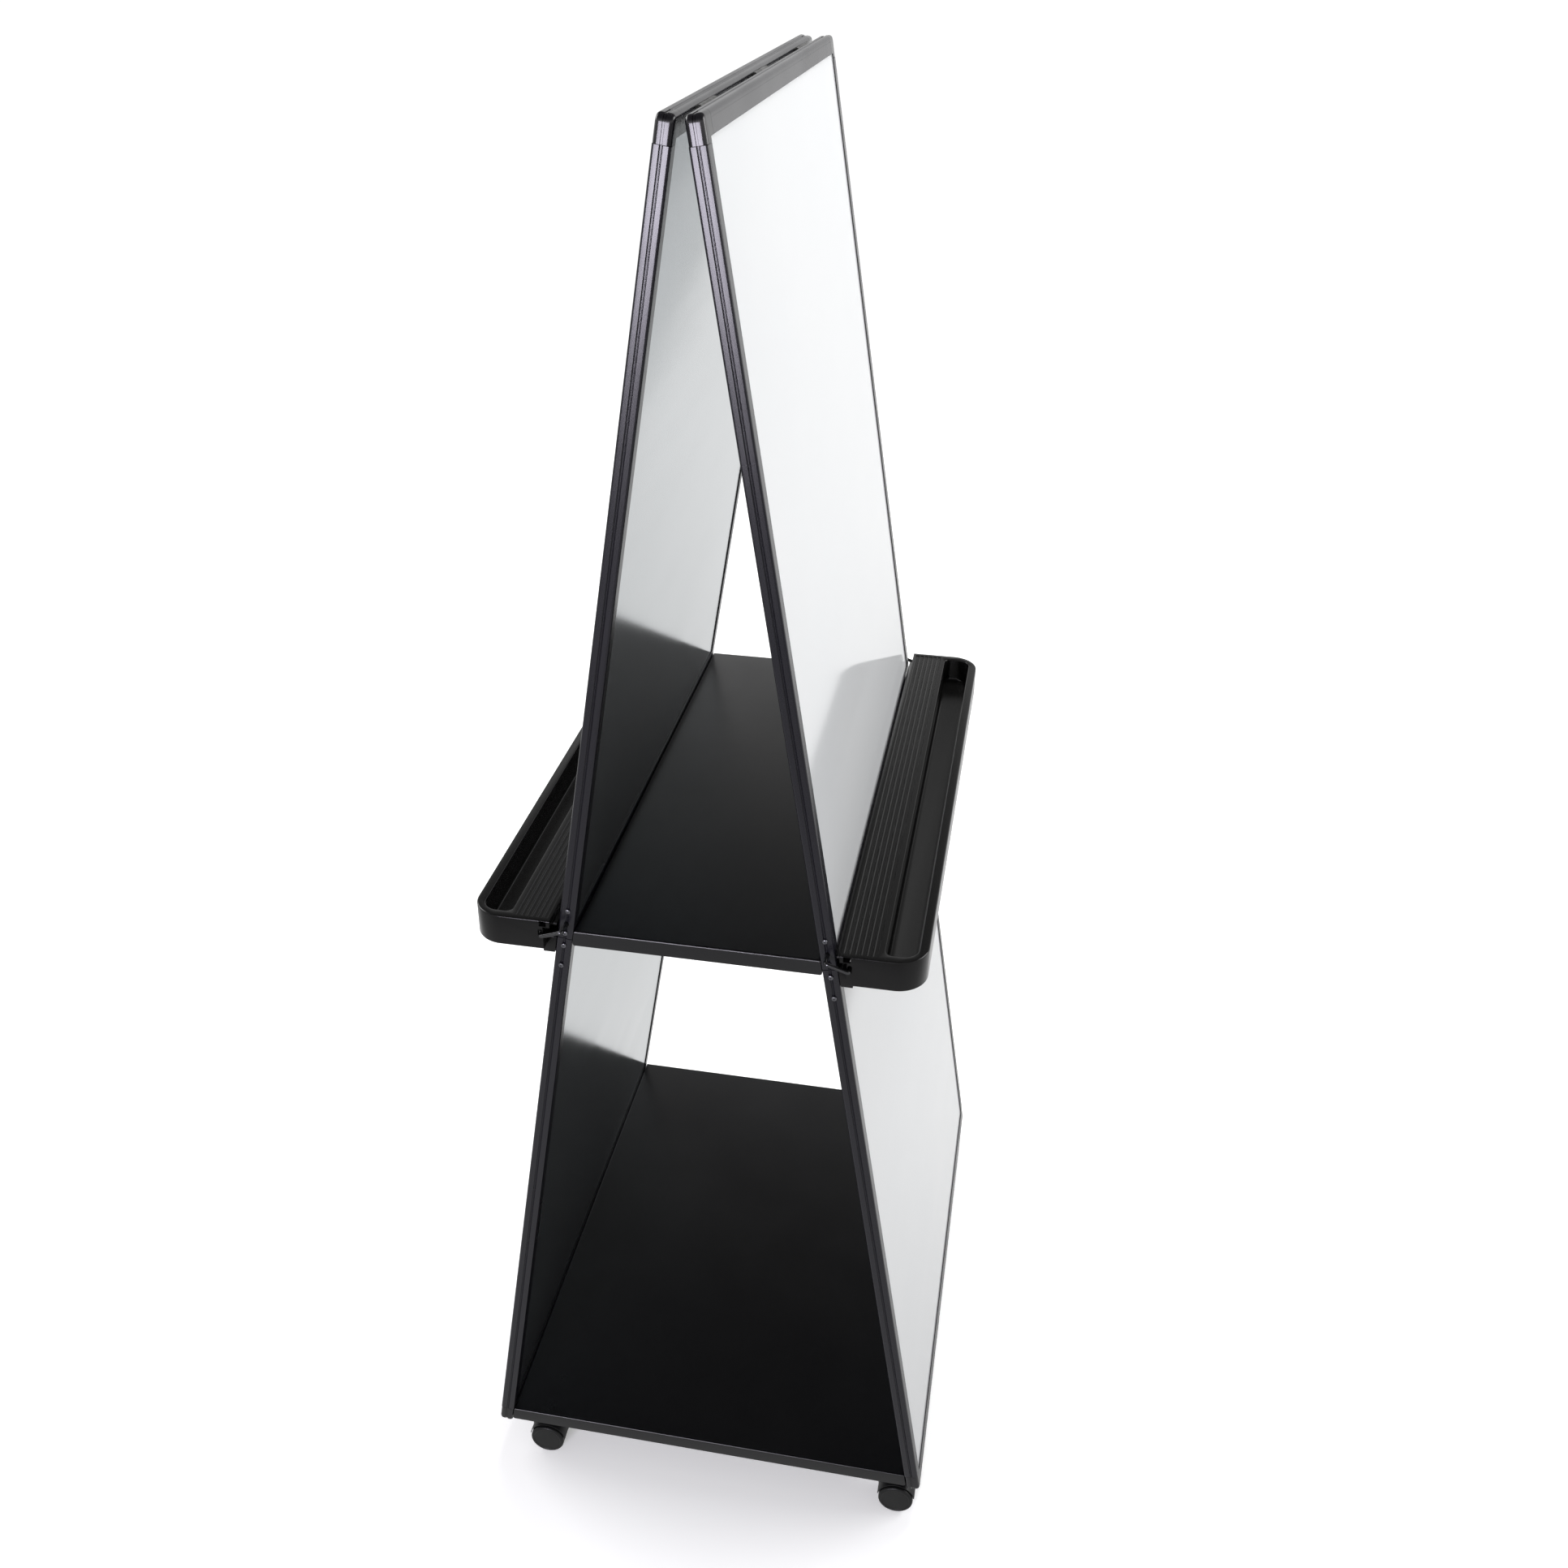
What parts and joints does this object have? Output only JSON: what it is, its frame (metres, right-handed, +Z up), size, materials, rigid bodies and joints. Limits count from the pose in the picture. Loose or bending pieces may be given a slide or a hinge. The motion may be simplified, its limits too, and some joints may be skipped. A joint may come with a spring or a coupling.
{
  "type": "mobile whiteboard",
  "caption": "Rolling A-frame whiteboard with writing panels on both sides, steel shelves between them, marker trays and swivel casters.",
  "frame": {"origin": "on the floor, under the middle of the frame, midway between the two boards", "axes": "+Z up, +X along the boards' width, -Y towards the side called front; left is -X and right is +X"},
  "size_m": [0.799, 0.6036, 1.8354],
  "materials": {
    "frame": "satin",
    "corner": "satin",
    "board": "gloss",
    "shelf": "satin",
    "tray": "satin",
    "dark_steel": "satin",
    "hinge": "satin",
    "caster": "satin",
    "wheel": "matte"
  },
  "bodies": {
    "stand": {"back_bottom_corner_left": "corner", "back_bottom_corner_right": "corner", "back_bottom_rail": "frame", "back_lower_board": "board", "back_lower_head_rail": "frame", "back_lower_side_rail_left": "frame", "back_lower_side_rail_right": "frame", "back_splice_bar_left": "dark_steel", "back_splice_bar_right": "dark_steel", "back_top_corner_left": "corner", "back_top_corner_right": "corner", "back_top_rail": "frame", "back_tray": "tray", "back_tray_bracket_left": "tray", "back_tray_bracket_right": "tray", "back_tray_stay_left": "dark_steel", "back_tray_stay_right": "dark_steel", "back_upper_board": "board", "back_upper_foot_rail": "frame", "back_upper_side_rail_left": "frame", "back_upper_side_rail_right": "frame", "base_shelf": "shelf", "caster_bar_left": "shelf", "caster_bar_right": "shelf", "front_bottom_corner_left": "corner", "front_bottom_corner_right": "corner", "front_bottom_rail": "frame", "front_lower_board": "board", "front_lower_head_rail": "frame", "front_lower_side_rail_left": "frame", "front_lower_side_rail_right": "frame", "front_splice_bar_left": "dark_steel", "front_splice_bar_right": "dark_steel", "front_top_corner_left": "corner", "front_top_corner_right": "corner", "front_top_rail": "frame", "front_tray": "tray", "front_tray_bracket_left": "tray", "front_tray_bracket_right": "tray", "front_tray_stay_left": "dark_steel", "front_tray_stay_right": "dark_steel", "front_upper_board": "board", "front_upper_foot_rail": "frame", "front_upper_side_rail_left": "frame", "front_upper_side_rail_right": "frame", "mid_shelf": "shelf", "top_hinge_left_back_leaf": "hinge", "top_hinge_left_front_leaf": "hinge", "top_hinge_middle_back_leaf": "hinge", "top_hinge_middle_front_leaf": "hinge", "top_hinge_right_back_leaf": "hinge", "top_hinge_right_front_leaf": "hinge"},
    "front_left_caster_fork": {"front_left_caster_hood": "caster"},
    "front_left_caster_wheelset": {"front_left_caster_wheels": "wheel"},
    "front_right_caster_fork": {"front_right_caster_hood": "caster"},
    "front_right_caster_wheelset": {"front_right_caster_wheels": "wheel"},
    "back_left_caster_fork": {"back_left_caster_hood": "caster"},
    "back_left_caster_wheelset": {"back_left_caster_wheels": "wheel"},
    "back_right_caster_fork": {"back_right_caster_hood": "caster"},
    "back_right_caster_wheelset": {"back_right_caster_wheels": "wheel"}
  },
  "joints": [
    {"name": "front_left_caster_swivel", "type": "hinge", "parent": "stand", "child": "front_left_caster_fork", "pos_m": [-0.3545, -0.25199, 0.0612], "axis": [0, 0, 1], "continuous": true},
    {"name": "front_left_caster_roll", "type": "hinge", "parent": "front_left_caster_fork", "child": "front_left_caster_wheelset", "pos_m": [-0.3545, -0.26949, 0.024], "axis": [1, 0, 0], "continuous": true},
    {"name": "front_right_caster_swivel", "type": "hinge", "parent": "stand", "child": "front_right_caster_fork", "pos_m": [0.3545, -0.25199, 0.0612], "axis": [0, 0, 1], "continuous": true},
    {"name": "front_right_caster_roll", "type": "hinge", "parent": "front_right_caster_fork", "child": "front_right_caster_wheelset", "pos_m": [0.3545, -0.26949, 0.024], "axis": [1, 0, 0], "continuous": true},
    {"name": "back_left_caster_swivel", "type": "hinge", "parent": "stand", "child": "back_left_caster_fork", "pos_m": [-0.3545, 0.25199, 0.0612], "axis": [0, 0, 1], "continuous": true},
    {"name": "back_left_caster_roll", "type": "hinge", "parent": "back_left_caster_fork", "child": "back_left_caster_wheelset", "pos_m": [-0.3545, 0.23448, 0.024], "axis": [1, 0, 0], "continuous": true},
    {"name": "back_right_caster_swivel", "type": "hinge", "parent": "stand", "child": "back_right_caster_fork", "pos_m": [0.3545, 0.25199, 0.0612], "axis": [0, 0, 1], "continuous": true},
    {"name": "back_right_caster_roll", "type": "hinge", "parent": "back_right_caster_fork", "child": "back_right_caster_wheelset", "pos_m": [0.3545, 0.23448, 0.024], "axis": [1, 0, 0], "continuous": true}
  ]
}
